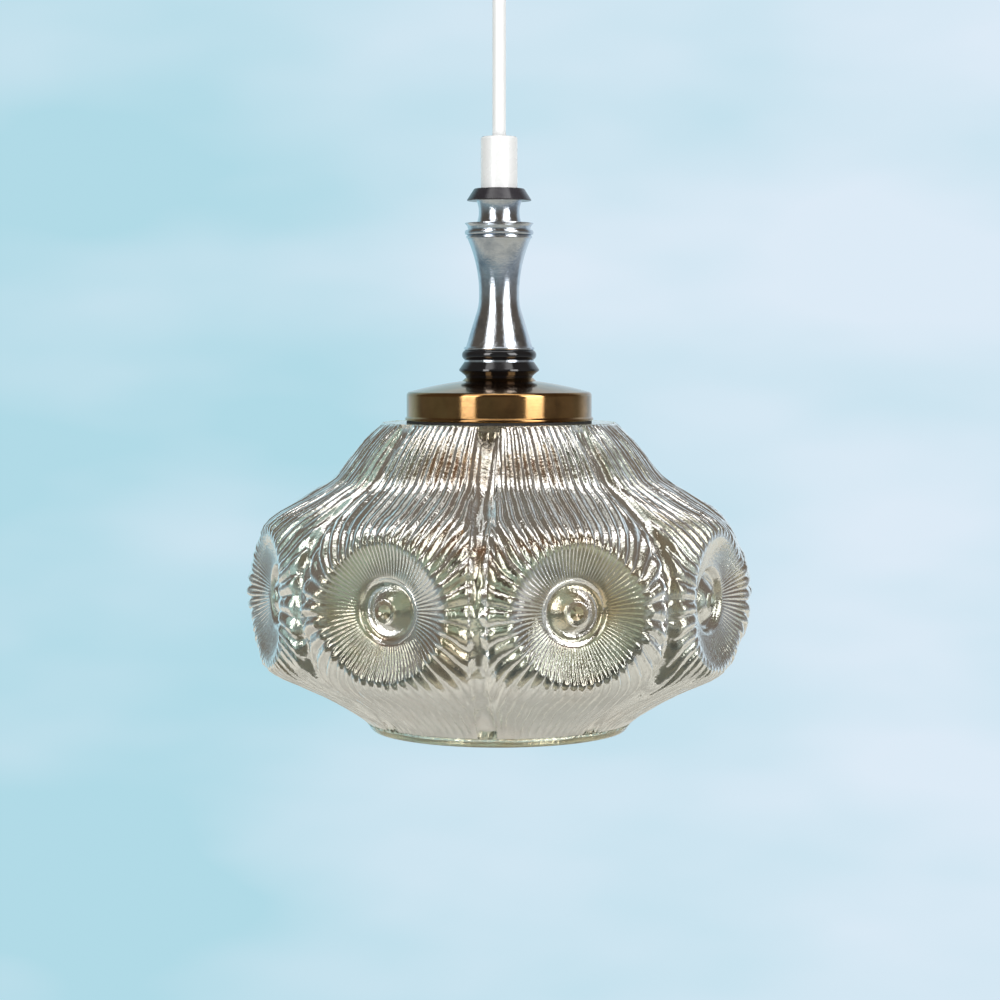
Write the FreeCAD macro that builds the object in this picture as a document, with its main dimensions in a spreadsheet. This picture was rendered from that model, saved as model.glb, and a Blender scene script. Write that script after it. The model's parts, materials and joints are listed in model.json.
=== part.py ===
import FreeCAD, Part
import math
import os
import Sketcher

# Pendant ceiling light: a ceiling fitting, a short straight drop of flex, a turned metal
# stem, a spun brass cap and a pressed glass shade of eight round "eyes", with an E27
# lampholder and bulb inside. Millimetres, +Z up, origin on the ceiling over the lamp's axis.

DIMENSIONS = {
    # ceiling fitting
    "bracket_length": 89.6,
    "bracket_width": 16.0,
    "bracket_gauge": 2.0,
    "bracket_tab": 12.0,
    "fixing_spacing": 60.0,
    "fixing_radius": 2.25,
    "side_screw_drop": 8.0,
    "side_screw_radius": 1.95,
    "side_screw_head": 3.8,
    "side_screw_reach": 8.0,
    "canopy_radius": 48.0,
    "canopy_wall": 2.0,
    "canopy_depth": 40.0,
    "canopy_bend": 26.0,
    "block_length": 30.0,
    "block_width": 16.0,
    "block_height": 12.0,
    "block_hole": 1.4,
    "block_pitch": 10.0,
    "block_screw": 1.6,
    "canopy_grip_radius": 9.5,
    "canopy_grip_bottom": 62.0,
    "canopy_grip_thread": 11.0,
    "bell_radius": 7.6,
    "bell_depth": 9.6,
    # flex
    "cord_radius": 3.25,
    "cord_bore": 3.4,
    "core_radius": 1.1,
    "core_offset": 1.6,
    "sheath_end": 24.0,
    "first_bend": 53.0,
    "second_bend": 58.0,
    "bend_gap": 0.35,
    # grip, tube and nuts
    "grip_top": 137.9,
    "grip_height": 25.0,
    "grip_radius": 8.85,
    "grip_edge": 1.3,
    "grip_socket": 9.1,
    "grip_screw_radius": 2.0,
    "grip_screw_drop": 9.0,
    "tube_radius": 5.0,
    "tube_bore": 4.0,
    "tube_clearance": 5.05,
    "tube_length": 139.2,
    "nut_flats": 14.0,
    "nut_height": 4.0,
    # turned stem
    "cone_top": 12.4,
    "cone_edge": 15.6,
    "cone_height": 5.8,
    "neck_end": 10.9,
    "neck_waist": 9.8,
    "neck_height": 10.7,
    "collar_height": 7.4,
    "collar_lip": 16.3,
    "collar_groove": 15.0,
    "collar_foot": 15.2,
    "stem_height": 53.7,
    "stem_top": 15.3,
    "stem_waist": 9.7,
    "stem_shoulder": 11.5,
    "stem_foot": 16.4,
    "stem_flange": 17.0,
    "bead_height": 4.8,
    "bead_face": 16.6,
    "spacer_height": 1.0,
    "spacer_radius": 16.8,
    "vee_height": 7.7,
    "vee_edge": 19.4,
    "vee_top": 17.0,
    "vee_bottom": 16.0,
    "foot_height": 1.5,
    "foot_radius": 18.0,
    # brass cap and what clamps the glass
    "cap_radius": 44.9,
    "cap_lip": 45.5,
    "cap_height": 19.0,
    "cap_side": 12.0,
    "cap_crown": 14.0,
    "cap_gauge": 1.2,
    "washer_radius": 12.0,
    "washer_height": 1.0,
    "gasket_height": 1.0,
    "gasket_inside": 40.0,
    "inner_gasket_height": 1.5,
    "inner_gasket_inside": 31.5,
    "disc_radius": 39.5,
    "disc_height": 1.5,
    "disc_vent": 5.0,
    "disc_vent_circle": 20.0,
    # glass shade, heights from the level of the eyes
    "shade_wall": 5.0,
    "shade_hole": 30.0,
    "shade_top": 81.5,
    "shade_flat": 56.5,
    "valley_radius": 79.5,
    "valley_level": 53.0,
    "brow_radius": 97.5,
    "brow_level": 43.0,
    "crest_radius": 120.0,
    "crest_curve": 46.0,
    "jowl_radius": 108.0,
    "jowl_level": 35.5,
    "heel_radius": 68.0,
    "heel_level": 58.0,
    "mouth_radius": 62.8,
    "mouth_level": 67.6,
    "eye_count": 8,
    "eye_turn": 17.9,
    "dish_radius": 31.0,
    "dish_edge": 114.5,
    "dish_floor": 110.5,
    "ring_outside": 15.0,
    "ring_inside": 11.2,
    "ring_floor": 107.8,
    "button_height": 4.7,
    "boss_face": 103.8,
    "boss_radius": 30.0,
    "boss_flat": 14.0,
    "channel_width": 8.5,
    "channel_depth": 3.6,
    # lampholder
    "holder_radius": 19.5,
    "holder_wall": 2.0,
    "holder_cap_height": 18.5,
    "holder_cap_side": 8.0,
    "holder_body_height": 35.0,
    "holder_lip": 20.6,
    "holder_mouth": 14.4,
    "insert_radius": 17.2,
    "insert_height": 9.0,
    "shell_bore": 13.45,
    "shell_gauge": 0.5,
    "shell_height": 24.0,
    "contact_width": 6.0,
    "contact_length": 14.0,
    "contact_height": 1.4,
    "terminal_radius": 2.0,
    "terminal_offset": 12.0,
    # bulb
    "bulb_gap": 0.35,
    "tip_radius": 4.8,
    "tip_height": 1.8,
    "vitrite_radius": 11.6,
    "vitrite_height": 4.0,
    "bulb_cap_radius": 13.1,
    "bulb_cap_height": 21.0,
    "bulb_cap_gauge": 0.3,
    "bulb_radius": 30.0,
    "bulb_length": 105.0,
    "bulb_neck": 12.6,
    "bulb_wall": 0.9,
    "mount_radius": 4.2,
    "mount_height": 34.0,
    "wire_radius": 0.35,
    "filament_circle": 11.0,
}

EIGHTH_TURN = 45.0
THREAD_START = 9.1


class Size:
    """A length that keeps its number together with the sheet expression that gives it."""

    def __init__(self, number, text):
        self.number = number
        self.text = text

    def __add__(self, other):
        other = sized(other)
        return Size(self.number + other.number, f"({self.text} + {other.text})")

    def __sub__(self, other):
        other = sized(other)
        return Size(self.number - other.number, f"({self.text} - {other.text})")

    def __mul__(self, factor):
        return Size(self.number * factor, f"({self.text} * {factor})")

    def __neg__(self):
        return Size(-self.number, f"(0 - {self.text})")


def sized(value):
    """A plain number as a Size."""
    if isinstance(value, Size):
        return value
    return Size(float(value), str(float(value)))


doc = FreeCAD.newDocument("PendantLight")
sheet = doc.addObject("Spreadsheet::Sheet", "Dimensions")
for row, (alias, value) in enumerate(DIMENSIONS.items(), start=1):
    sheet.set(f"A{row}", alias)
    sheet.set(f"B{row}", str(value))
    sheet.setAlias(f"B{row}", alias)
doc.recompute()


class Dimensions:
    """Every cell of the sheet as an attribute holding a Size."""

    def __init__(self):
        for alias, value in DIMENSIONS.items():
            setattr(self, alias, Size(float(value), f"Dimensions.{alias}"))


dim = Dimensions()
sub_parts = []


def place(item, x=0.0, y=0.0, z=0.0, axis=None, angle=0.0):
    """Turns an object about an axis, then binds the place of its origin to the sheet."""
    if axis is not None:
        item.Placement = FreeCAD.Placement(FreeCAD.Vector(), FreeCAD.Rotation(axis, angle))
    for letter, value in zip("xyz", (x, y, z)):
        item.setExpression(f"Placement.Base.{letter}", sized(value).text)
    return item


def keep(item, label):
    """Names an object and lists it as a sub-part to export."""
    item.Label = label
    sub_parts.append(item)
    return item


def primitive(kind, name, **sizes):
    """A Part primitive with its properties bound to the sheet."""
    item = doc.addObject(f"Part::{kind}", name)
    for field, value in sizes.items():
        item.setExpression(field, sized(value).text)
    return item


def cut(base, tool, name):
    """The base with the tool taken away."""
    item = doc.addObject("Part::Cut", name)
    item.Base = base
    item.Tool = tool
    return item


def cut_all(base, tools, name):
    """The base with each tool taken away in turn."""
    for number, tool in enumerate(tools):
        base = cut(base, tool, f"{name}{number}")
    return base


def group(items, name):
    """Several separate solids as one object."""
    item = doc.addObject("Part::Compound", name)
    item.Links = items
    return item


def arc_between(start, end, radius):
    """An arc of the given radius, drawn anticlockwise; with a positive radius it bulges to
    the right of the way from start to end, and with a negative one to the left."""
    if radius < 0:
        start, end = end, start
    middle = (start + end) * 0.5
    chord = end - start
    left = FreeCAD.Vector(-chord.y, chord.x, 0).normalize()
    centre = middle + left * math.sqrt(radius * radius - (chord.Length / 2) ** 2)
    first = math.atan2(start.y - centre.y, start.x - centre.x)
    last = math.atan2(end.y - centre.y, end.x - centre.x)
    if last < first:
        last += 2 * math.pi
    circle = Part.Circle(centre, FreeCAD.Vector(0, 0, 1), abs(radius))
    return Part.ArcOfCircle(circle, first, last)


def sketch_on_plane(body, name, outline, plane="XZ_Plane"):
    """A closed sketch; each corner is (x, y) or (x, y, radius of the arc to the next)."""
    sketch = body.newObject("Sketcher::SketchObject", name)
    planes = [item for item in body.Origin.OriginFeatures if item.Role == plane]
    sketch.AttachmentSupport = [(planes[0], "")]
    sketch.MapMode = "FlatFace"
    corners = [(sized(point[0]), sized(point[1])) for point in outline]
    spots = [FreeCAD.Vector(x.number, y.number, 0) for x, y in corners]
    ends = []
    for number, point in enumerate(outline):
        start = spots[number]
        end = spots[(number + 1) % len(spots)]
        if len(point) == 2:
            sketch.addGeometry(Part.LineSegment(start, end))
            ends.append((1, 2))
            continue
        radius = sized(point[2]).number
        sketch.addGeometry(arc_between(start, end, radius))
        ends.append((1, 2) if radius > 0 else (2, 1))
    for number in range(len(outline)):
        following = (number + 1) % len(outline)
        sketch.addConstraint(
            Sketcher.Constraint(
                "Coincident", number, ends[number][1], following, ends[following][0]
            )
        )
    for number, (x, y) in enumerate(corners):
        vertex = (number, ends[number][0])
        for kind, value, axis in (("DistanceX", x, -2), ("DistanceY", y, -1)):
            if value.number == 0:
                sketch.addConstraint(Sketcher.Constraint("PointOnObject", *vertex, axis))
                continue
            index = sketch.addConstraint(
                Sketcher.Constraint(kind, -1, 1, *vertex, value.number)
            )
            sketch.setExpression(f"Constraints[{index}]", value.text)
    for number, point in enumerate(outline):
        if len(point) == 3:
            radius = sized(point[2])
            if radius.number < 0:
                radius = -radius
            index = sketch.addConstraint(
                Sketcher.Constraint("Radius", number, radius.number)
            )
            sketch.setExpression(f"Constraints[{index}]", radius.text)
    return sketch


def turned_body(name, outline):
    """A body turned about Z from a half outline of (radius, height) corners."""
    body = doc.addObject("PartDesign::Body", f"{name}_body")
    sketch = sketch_on_plane(body, f"{name}_outline", outline)
    revolution = body.newObject("PartDesign::Revolution", f"{name}_revolution")
    revolution.Profile = sketch
    revolution.ReferenceAxis = (sketch, ["V_Axis"])
    revolution.Angle = 360.0
    sketch.Visibility = False
    return body


def turned(name, bottom, outline):
    """A turned sub-part whose outline starts at the level called bottom."""
    return keep(place(turned_body(name, outline), z=bottom), name)


def ring(outside, inside, height):
    """The outline of a plain flat ring."""
    return [(inside, 0), (outside, 0), (outside, height), (inside, height)]


def bent_tube(points, radius):
    """A round tube along straight runs joined by the largest tangent arcs that fit."""
    spots = [FreeCAD.Vector(*point) for point in points]
    edges = []
    bends = []
    start = spots[0]
    for before, corner, after in zip(spots, spots[1:], spots[2:]):
        back = before - corner
        ahead = after - corner
        trim = 0.45 * min(back.Length, ahead.Length)
        half_turn = (math.pi - back.getAngle(ahead)) / 2
        back.normalize()
        ahead.normalize()
        entry = corner + back * trim
        leave = corner + ahead * trim
        bisector = (back + ahead).normalize()
        bend = trim / math.tan(half_turn)
        bends.append(round(bend, 1))
        centre = corner + bisector * (bend / math.cos(half_turn))
        crown = centre - bisector * bend
        edges.append(Part.LineSegment(start, entry).toShape())
        edges.append(Part.Arc(entry, crown, leave).toShape())
        start = leave
    edges.append(Part.LineSegment(start, spots[-1]).toShape())
    print(f"tube of radius {radius} mm bends at {bends} mm")
    path = Part.Wire(edges)
    section = Part.Wire(Part.makeCircle(radius, spots[0], spots[1] - spots[0]))
    return path.makePipeShell([section], True, False)


def coded(label, shape):
    """A sub-part whose shape is worked out in code."""
    item = doc.addObject("Part::Feature", label)
    item.Shape = shape
    return keep(item, label)


# Levels below the ceiling, each the bottom of the piece it names.
grip_bottom = -(dim.grip_top + dim.grip_height)
cone_bottom = grip_bottom - dim.cone_height
neck_bottom = cone_bottom - dim.neck_height
collar_bottom = neck_bottom - dim.collar_height
stem_bottom = collar_bottom - dim.stem_height
bead_bottom = stem_bottom - dim.bead_height
spacer_bottom = bead_bottom - dim.spacer_height
vee_bottom = spacer_bottom - dim.vee_height
foot_bottom = vee_bottom - dim.foot_height
cap_bottom = foot_bottom - dim.cap_height
gasket_bottom = cap_bottom - dim.gasket_height
eye_level = gasket_bottom - dim.shade_top
glass_under = gasket_bottom - dim.shade_wall
inner_gasket_bottom = glass_under - dim.inner_gasket_height
disc_bottom = inner_gasket_bottom - dim.disc_height
lower_nut_bottom = disc_bottom - dim.nut_height
washer_bottom = foot_bottom - dim.cap_gauge - dim.washer_height
upper_nut_bottom = washer_bottom - dim.nut_height
tube_top = grip_bottom + THREAD_START
tube_bottom = tube_top - dim.tube_length
holder_cap_bottom = lower_nut_bottom - dim.holder_cap_height
holder_body_bottom = holder_cap_bottom - dim.holder_body_height
insert_bottom = holder_cap_bottom - dim.insert_height + 2
contact_bottom = insert_bottom - dim.contact_height
tip_bottom = contact_bottom - dim.bulb_gap - dim.tip_height
vitrite_bottom = tip_bottom - dim.vitrite_height
bulb_cap_bottom = vitrite_bottom - dim.bulb_cap_height
bulb_centre = tip_bottom + dim.tip_height - dim.bulb_length + dim.bulb_radius
X_AXIS = FreeCAD.Vector(1, 0, 0)
Y_AXIS = FreeCAD.Vector(0, 1, 0)
Z_AXIS = FreeCAD.Vector(0, 0, 1)


def hex_nut(name, bottom):
    """A hexagon nut on the threaded tube, without its thread."""
    across_corners = dim.nut_flats * (0.5 / math.cos(math.radians(30)))
    prism = primitive("Prism", f"{name}_hexagon", Circumradius=across_corners, Height=dim.nut_height)
    prism.Polygon = 6
    bore = primitive("Cylinder", f"{name}_bore", Radius=dim.tube_clearance, Height=dim.nut_height)
    place(prism, z=bottom)
    place(bore, z=bottom)
    return cut(prism, bore, f"{name}_nut")


def ceiling_bracket():
    """A flat steel strip with two fixing holes and its ends turned down to take screws."""
    strip = primitive(
        "Box",
        "bracket_strip",
        Length=dim.bracket_length,
        Width=dim.bracket_width,
        Height=dim.bracket_tab + dim.bracket_gauge,
    )
    place(
        strip,
        x=dim.bracket_length * -0.5,
        y=dim.bracket_width * -0.5,
        z=-(dim.bracket_tab + dim.bracket_gauge),
    )
    relief = primitive(
        "Box",
        "bracket_relief",
        Length=dim.bracket_length - dim.bracket_gauge * 2,
        Width=dim.bracket_width,
        Height=dim.bracket_tab,
    )
    place(
        relief,
        x=dim.bracket_length * -0.5 + dim.bracket_gauge,
        y=dim.bracket_width * -0.5,
        z=-(dim.bracket_tab + dim.bracket_gauge),
    )
    holes = []
    for side in (-0.5, 0.5):
        hole = primitive("Cylinder", "fixing_hole", Radius=dim.fixing_radius, Height=dim.bracket_gauge)
        holes.append(place(hole, x=dim.fixing_spacing * side, z=-dim.bracket_gauge))
    tapped = primitive("Cylinder", "tapped_hole", Radius=dim.side_screw_radius, Height=dim.bracket_length)
    place(
        tapped, x=dim.bracket_length * -0.5, z=-dim.side_screw_drop, axis=Y_AXIS, angle=90.0
    )
    keep(cut_all(strip, [relief, *holes, tapped], "bracket_cut"), "ceiling_bracket")


def canopy():
    """The moulded cup over the wiring, with a hole for its cord grip and two side holes."""
    bend = dim.canopy_bend
    inner_bend = dim.canopy_bend - dim.canopy_wall
    flat = dim.canopy_radius - bend
    body = turned_body(
        "canopy",
        [
            (dim.tube_clearance, 0),
            (flat, 0, bend),
            (dim.canopy_radius, bend),
            (dim.canopy_radius, dim.canopy_depth),
            (dim.canopy_radius - dim.canopy_wall, dim.canopy_depth),
            (dim.canopy_radius - dim.canopy_wall, bend, -inner_bend),
            (flat, dim.canopy_wall),
            (dim.tube_clearance, dim.canopy_wall),
        ],
    )
    place(body, z=-dim.canopy_depth)
    side_hole = primitive(
        "Cylinder",
        "canopy_side_hole",
        Radius=dim.side_screw_radius + 0.25,
        Height=dim.canopy_radius * 2,
    )
    place(side_hole, x=-dim.canopy_radius, z=-dim.side_screw_drop, axis=Y_AXIS, angle=90.0)
    keep(cut(body, side_hole, "canopy_cut"), "canopy")


def canopy_screws():
    """Two pan-head screws through the canopy's side into the bracket's tabs."""
    screws = []
    for angle in (90.0, -90.0):
        body = turned_body(
            "side_screw",
            [
                (0, -dim.side_screw_reach),
                (dim.side_screw_radius - 0.05, -dim.side_screw_reach),
                (dim.side_screw_radius - 0.05, 0),
                (dim.side_screw_head, 0),
                (dim.side_screw_head, 1.0, 1.6),
                (dim.side_screw_head - 1.4, 2.2),
                (0, 2.2),
            ],
        )
        side = 1 if angle > 0 else -1
        place(
            body, x=dim.canopy_radius * side, z=-dim.side_screw_drop, axis=Y_AXIS, angle=angle
        )
        screws.append(body)
    keep(group(screws, "canopy_screw_pair"), "canopy_screws")


def canopy_grip():
    """The cord grip under the canopy, with a bell mouth where the flex may swing."""
    shoulder = dim.canopy_grip_bottom - dim.canopy_depth
    body = turned_body(
        "canopy_grip",
        [
            (dim.bell_radius, 0),
            (dim.canopy_grip_radius - 1.2, 0, 1.2),
            (dim.canopy_grip_radius, 1.2),
            (dim.canopy_grip_radius, shoulder),
            (dim.tube_radius, shoulder),
            (dim.tube_radius, shoulder + dim.canopy_grip_thread),
            (dim.cord_bore, shoulder + dim.canopy_grip_thread),
            (dim.cord_bore, dim.bell_depth),
        ],
    )
    place(body, z=-dim.canopy_grip_bottom)
    screw_hole = primitive(
        "Cylinder", "canopy_grip_hole", Radius=dim.grip_screw_radius, Height=dim.canopy_grip_radius
    )
    place(screw_hole, z=-(dim.canopy_depth + 5), axis=X_AXIS, angle=-90.0)
    keep(cut(body, screw_hole, "canopy_grip_cut"), "canopy_grip")


def clamp_screw(name, outside, level):
    """A slotted nylon screw that bears on the flex from behind."""
    length = outside - dim.cord_radius
    screw = primitive("Cylinder", f"{name}_shank", Radius=dim.grip_screw_radius, Height=length)
    place(screw, y=dim.cord_radius, z=level, axis=X_AXIS, angle=-90.0)
    slot = primitive("Box", f"{name}_slot", Length=dim.grip_screw_radius * 2, Width=1.0, Height=0.7)
    place(
        slot, x=-dim.grip_screw_radius, y=outside - 1.0, z=level - 0.35
    )
    keep(cut(screw, slot, f"{name}_cut"), name)


def terminal_block():
    """A two-way terminal block under the bracket, with its four screws."""
    block = primitive(
        "Box",
        "block_body",
        Length=dim.block_length,
        Width=dim.block_width,
        Height=dim.block_height,
    )
    bottom = -(dim.bracket_gauge + dim.block_height)
    place(block, x=dim.block_length * -0.5, y=dim.block_width * -0.5, z=bottom)
    holes = []
    screws = []
    for way in (-0.5, 0.5):
        wire_hole = primitive("Cylinder", "wire_hole", Radius=dim.block_hole, Height=dim.block_width)
        place(
            wire_hole,
            x=dim.block_pitch * way,
            y=dim.block_width * -0.5,
            z=-dim.side_screw_drop,
            axis=X_AXIS,
            angle=-90.0,
        )
        holes.append(wire_hole)
        for side in (-0.28, 0.28):
            depth = dim.block_height + dim.bracket_gauge - dim.side_screw_drop - dim.core_radius
            spot = {"x": dim.block_pitch * way, "y": dim.block_width * side}
            well = primitive("Cylinder", "screw_well", Radius=dim.block_screw, Height=depth)
            holes.append(place(well, z=bottom, **spot))
            screw = primitive(
                "Cylinder", "block_screw", Radius=dim.block_screw - 0.05, Height=depth - 1.3
            )
            place(screw, z=bottom + 1.0, **spot)
            slot = primitive("Box", "block_slot", Length=dim.block_screw * 2, Width=0.6, Height=0.6)
            place(slot, x=dim.block_pitch * way - dim.block_screw, y=spot["y"] - 0.3, z=bottom + 1.0)
            screws.append(cut(screw, slot, "block_screw_cut"))
    keep(cut_all(block, holes, "block_cut"), "terminal_block")
    keep(group(screws, "block_screw_set"), "terminal_screws")


def canopy_lead():
    """The sheathed end of the flex inside the canopy, and its two cores to the block."""
    top = -dim.sheath_end
    bottom = -(dim.first_bend - dim.cord_radius - dim.bend_gap)
    turned("canopy_lead", bottom, [(0, 0), (dim.cord_radius, 0), (dim.cord_radius, top - bottom),
                                   (0, top - bottom)])
    cores = []
    for side in (-1, 1):
        offset = dim.core_offset.number * side
        pitch = dim.block_pitch.number * side / 2
        wire_level = -dim.side_screw_drop.number
        points = [
            (offset, 0, top.number),
            (offset, 0, top.number + 5),
            (pitch, -14, wire_level - 11),
            (pitch, -17, wire_level),
            (pitch, -5.5, wire_level),
        ]
        cores.append(bent_tube(points, dim.core_radius.number))
    coded("canopy_cores", Part.makeCompound(cores))


def flex():
    """The flex below the canopy: a short bend, the straight drop, and the run in the stem."""
    cord = dim.cord_radius
    bend_bottom = -(dim.second_bend - cord - dim.bend_gap)
    pivot = -dim.first_bend - bend_bottom
    turned("cord_bend", bend_bottom, [(0, 0), (cord, 0), (cord, pivot, cord), (0, pivot + cord)])
    drop = dim.grip_top - dim.second_bend
    turned("cord", -dim.grip_top, [(0, 0), (cord, 0), (cord, drop, cord), (0, drop + cord)])
    inner = -dim.grip_top - tube_bottom
    turned("inner_cord", tube_bottom, [(0, 0), (cord, 0), (cord, inner), (0, inner)])
    length = drop.number
    solid = sub_parts[-2]
    doc.recompute()
    stretch = math.pi * cord.number ** 2 * length + 2 / 3 * math.pi * cord.number ** 3
    print(f"cord drop {length:.1f} mm, straight, volume {solid.Shape.Volume:.0f} of {stretch:.0f}")


def cord_grip():
    """The white plastic grip on top of the stem."""
    height = dim.grip_height
    edge = dim.grip_edge
    body = turned_body(
        "cord_grip",
        [
            (dim.tube_clearance, 0),
            (dim.grip_radius, 0),
            (dim.grip_radius, height - edge, edge),
            (dim.grip_radius - edge, height),
            (dim.cord_bore, height),
            (dim.cord_bore, dim.grip_socket),
            (dim.tube_clearance, dim.grip_socket),
        ],
    )
    place(body, z=grip_bottom)
    hole = primitive("Cylinder", "grip_hole", Radius=dim.grip_screw_radius, Height=dim.grip_radius)
    place(hole, z=-(dim.grip_top + dim.grip_screw_drop), axis=X_AXIS, angle=-90.0)
    keep(cut(body, hole, "cord_grip_cut"), "cord_grip")


def stem_stack():
    """The turned pieces threaded on the tube between the cord grip and the brass cap."""
    bore = dim.tube_clearance
    turned("cone_washer", cone_bottom, [
        (bore, 0), (dim.cone_edge - 0.3, 0), (dim.cone_edge, 0.4),
        (dim.cone_top, dim.cone_height - 0.4), (dim.cone_top - 0.4, dim.cone_height),
        (bore, dim.cone_height),
    ])
    half = dim.neck_height * 0.5
    turned("neck_spool", neck_bottom, [
        (bore, 0), (dim.neck_end, 0, -14.0), (dim.neck_waist, half, -14.0),
        (dim.neck_end, dim.neck_height), (bore, dim.neck_height),
    ])
    lip = dim.collar_lip
    turned("collar_ring", collar_bottom, [
        (bore, 0), (dim.collar_foot, 0), (lip - 0.4, 0.3), (lip - 0.4, 1.2),
        (dim.collar_foot, 1.5), (lip, 1.9, 1.8), (lip, 3.9),
        (dim.collar_groove, 4.4), (dim.collar_groove + 0.4, 5.8, -4.0), (lip + 0.3, 7.1),
        (lip + 0.3, dim.collar_height), (bore, dim.collar_height),
    ])
    flange = 1.5
    turned("stem", stem_bottom, [
        (bore, 0), (dim.stem_flange - 0.4, 0, 0.8), (dim.stem_flange - 0.4, flange),
        (dim.stem_foot - 0.3, flange), (dim.stem_shoulder, 16.4, -27.0),
        (dim.stem_waist, 26.0), (dim.stem_waist, 27.0, -66.0),
        (dim.stem_top, dim.stem_height), (bore, dim.stem_height),
    ])
    turned("upper_bead", bead_bottom, [
        (bore, 0), (dim.bead_face, 0, 2.7), (dim.bead_face, dim.bead_height),
        (bore, dim.bead_height),
    ])
    turned("spacer_ring", spacer_bottom, ring(dim.spacer_radius, bore, dim.spacer_height))
    edge = dim.vee_height * 0.5
    turned("lower_bead", vee_bottom, [
        (bore, 0), (dim.vee_bottom, 0), (dim.vee_bottom + 0.6, 1.2),
        (dim.vee_edge, edge - 0.4), (dim.vee_edge, edge + 0.4),
        (dim.vee_top, dim.vee_height), (bore, dim.vee_height),
    ])
    turned("foot_ring", foot_bottom, [
        (bore, 0), (dim.foot_radius, 0), (dim.foot_radius - 1.5, dim.foot_height),
        (bore, dim.foot_height),
    ])


def thread_tube():
    """The M10 x 1 hollow tube that the whole pendant is threaded on."""
    turned("thread_tube", tube_bottom, ring(dim.tube_radius, dim.tube_bore, dim.tube_length))


def brass_cap():
    """The spun cap over the glass, a shallow pan with a rolled lip."""
    gauge = dim.cap_gauge
    radius = dim.cap_radius
    top = dim.cap_height
    turned("brass_cap", cap_bottom, [
        (radius - gauge, 0), (dim.cap_lip - 0.3, 0, 0.9), (dim.cap_lip - 0.3, 1.6),
        (radius, 2.0), (radius, dim.cap_side, 2.0), (radius - 1.9, dim.cap_crown, 180.0),
        (dim.foot_radius, top), (dim.tube_clearance, top), (dim.tube_clearance, top - gauge),
        (dim.foot_radius, top - gauge, -180.0), (radius - 2.3, dim.cap_crown - gauge),
        (radius - gauge, dim.cap_side - 0.8),
    ])


def glass_clamp():
    """The gaskets, disc, washer and nuts that hold the cap and the glass together."""
    turned("cap_gasket", gasket_bottom, ring(dim.cap_radius, dim.gasket_inside, dim.gasket_height))
    turned("inner_gasket", inner_gasket_bottom,
           ring(dim.disc_radius, dim.inner_gasket_inside, dim.inner_gasket_height))
    body = turned_body("disc", ring(dim.disc_radius, dim.tube_clearance, dim.disc_height))
    place(body, z=disc_bottom)
    vents = []
    for number in range(6):
        angle = math.radians(60 * number)
        vent = primitive("Cylinder", "disc_vent_hole", Radius=dim.disc_vent, Height=dim.disc_height)
        place(
            vent,
            x=dim.disc_vent_circle * math.cos(angle),
            y=dim.disc_vent_circle * math.sin(angle),
            z=disc_bottom,
        )
        vents.append(vent)
    keep(cut_all(body, vents, "disc_cut"), "retaining_disc")
    turned("cap_washer", washer_bottom,
           ring(dim.washer_radius, dim.tube_clearance, dim.washer_height))
    nuts = [hex_nut("upper", upper_nut_bottom), hex_nut("lower", lower_nut_bottom)]
    keep(group(nuts, "clamp_nut_pair"), "clamp_nuts")
    keep(hex_nut("canopy", dim.canopy_wall - dim.canopy_depth), "canopy_nut")


def pattern(body, feature, axis_sketch, name):
    """Repeats a feature of the shade once for each eye."""
    copies = body.newObject("PartDesign::PolarPattern", name)
    copies.Originals = [feature]
    copies.Axis = (axis_sketch, ["V_Axis"])
    copies.Angle = 360.0
    copies.setExpression("Occurrences", dim.eye_count.text)
    body.Tip = copies
    doc.recompute()
    return copies


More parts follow.
